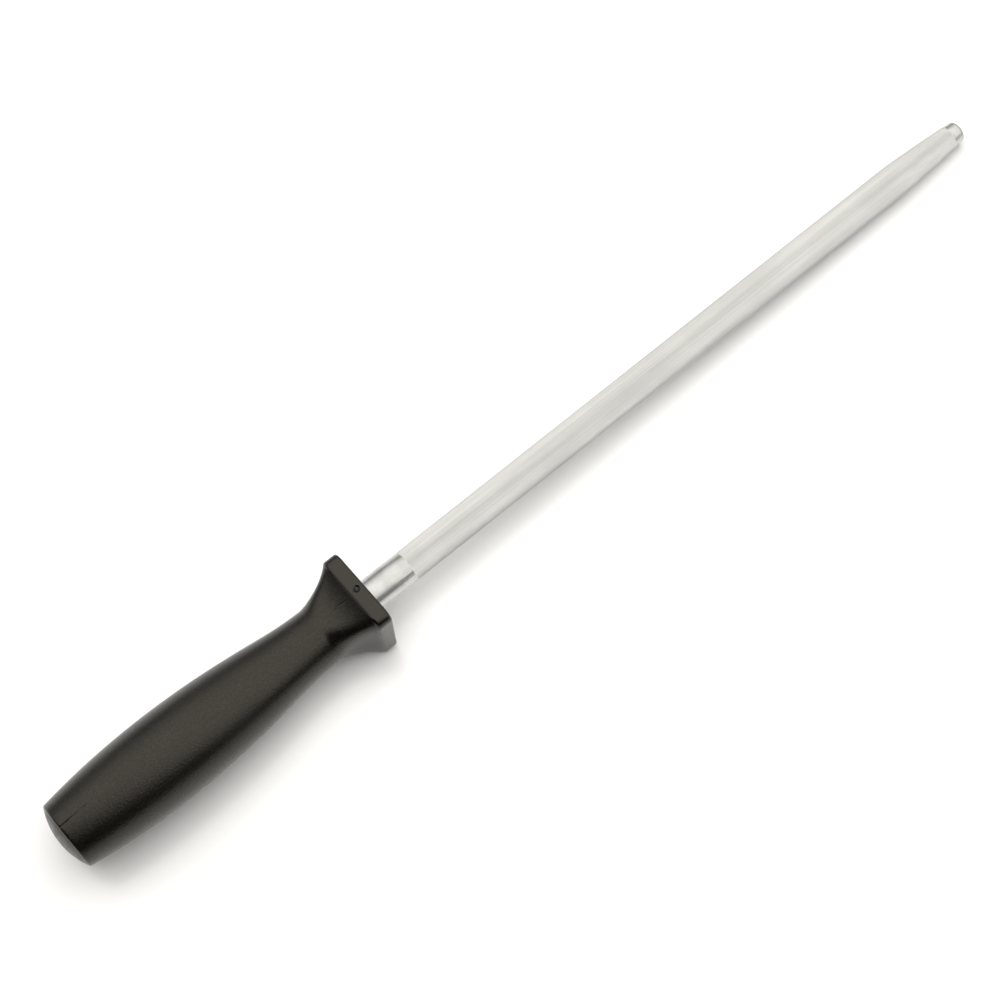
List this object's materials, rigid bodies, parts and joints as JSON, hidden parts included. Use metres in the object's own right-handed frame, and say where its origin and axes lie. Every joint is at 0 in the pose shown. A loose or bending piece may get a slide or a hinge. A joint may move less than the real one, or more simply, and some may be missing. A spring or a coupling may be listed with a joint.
{
  "type": "knife sharpening steel",
  "caption": "Round grooved sharpening rod with a tapered polished point, in a swelling black plastic handle with a square guard and a domed butt.",
  "frame": {"origin": "on the rod's axis in the guard's front face, where the rod's neck leaves the handle", "axes": "+X along the rod towards its tip, +Z out of the guard's flat that holds the cross pin, +Y out of a neighbouring flat"},
  "size_m": [0.4416, 0.0339, 0.0339],
  "materials": {
    "rod_steel": "fine lengthwise grooves, ground neck and polished point",
    "handle_plastic": "fine spark-eroded grain, smoother on the guard",
    "core_plastic": "plain moulded",
    "pin_steel": "blackened",
    "plug_plastic": "smooth, slightly satin"
  },
  "bodies": {
    "root": {"steel_rod": "rod_steel", "handle_shell": "handle_plastic", "handle_core": "core_plastic", "retaining_pin": "pin_steel", "butt_plug": "plug_plastic"}
  },
  "joints": []
}
